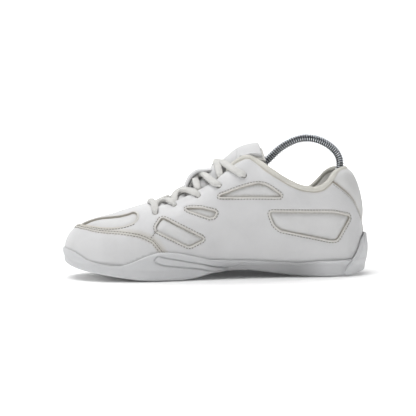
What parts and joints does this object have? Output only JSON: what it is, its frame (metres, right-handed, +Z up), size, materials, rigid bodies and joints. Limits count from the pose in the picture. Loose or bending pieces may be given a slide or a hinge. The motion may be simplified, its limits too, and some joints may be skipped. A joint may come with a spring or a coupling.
{
  "type": "cheer shoe",
  "caption": "White leather low-cut cheer shoe for the right foot, with a sculpted rubber sole, stitched side windows, laces and a coil-spring shoe tree.",
  "frame": {"origin": "centre of the overall box, on the floor", "axes": "+X from the toe to the heel, -Y to the medial side, +Z up"},
  "size_m": [0.257, 0.087, 0.1184],
  "materials": {
    "white_leather": "smooth full-grain, semi-matte",
    "patch_leather": "smooth, softly padded",
    "outsole_rubber": "matte",
    "midsole_rubber": "smooth, satin",
    "insole_board": "fibre board",
    "stiffener": "matte",
    "lining": "brushed knit",
    "sockliner_fabric": "woven",
    "foam": "foam",
    "binding": "soft, rolled",
    "lace_cord": "braided cotton",
    "spring_steel": "bright wire",
    "tree_plastic": "moulded"
  },
  "bodies": {
    "rearfoot": {"flex_web": "midsole_rubber", "flex_vamp": "white_leather", "medial_fore_patch": "patch_leather", "lateral_fore_patch": "patch_leather", "sockliner": "sockliner_fabric", "lace": "lace_cord", "outsole_ball": "outsole_rubber", "outsole_heel": "outsole_rubber", "midsole_ball": "midsole_rubber", "midsole_heel": "midsole_rubber", "heel_cup": "midsole_rubber", "heel_board": "insole_board", "medial_quarter": "white_leather", "lateral_quarter": "white_leather", "medial_mid_patch": "patch_leather", "medial_ankle_patch": "patch_leather", "medial_heel_patch": "patch_leather", "lateral_mid_patch": "patch_leather", "lateral_ankle_patch": "patch_leather", "lateral_heel_patch": "patch_leather", "heel_panel": "white_leather", "heel_counter": "stiffener", "quarter_lining": "lining", "collar_foam": "foam", "collar_lining": "lining", "collar_binding": "binding", "tongue": "white_leather", "tongue_loop": "white_leather", "tree_spring": "spring_steel"},
    "forefoot": {"outsole_toe": "outsole_rubber", "midsole_toe": "midsole_rubber", "toe_board": "insole_board", "toe_cap": "white_leather", "toe_vamp": "white_leather", "medial_toe_patch": "patch_leather", "lateral_toe_patch": "patch_leather", "toe_puff": "stiffener", "vamp_lining": "lining", "tree_toe_form": "tree_plastic", "tree_toe_socket": "spring_steel"},
    "tongue_tip": {"tongue_top": "white_leather"},
    "tree_heel": {"tree_knob": "tree_plastic", "tree_knob_socket": "spring_steel"}
  },
  "joints": [
    {"name": "toe_flex", "type": "hinge", "parent": "rearfoot", "child": "forefoot", "pos_m": [-0.05788, 0, 0.002], "axis": [0, 1, 0], "range_deg": [0, 25], "stiffness_Nm_per_rad": 2, "deforming": ["flex_web", "flex_vamp", "medial_fore_patch", "lateral_fore_patch", "sockliner", "lace", "tree_spring"]},
    {"name": "tongue_fold", "type": "hinge", "parent": "rearfoot", "child": "tongue_tip", "pos_m": [0.01612, 0, 0.095], "axis": [0, 1, 0], "range_deg": [-25, 5], "stiffness_Nm_per_rad": 0.3, "deforming": ["lace"]},
    {"name": "tree_heel_slide", "type": "slide", "parent": "rearfoot", "child": "tree_heel", "axis": [-1, 0, 0], "range_m": [0, 0.02], "stiffness_N_per_m": 300, "springref_m": -0.01, "deforming": ["tree_spring"]}
  ]
}
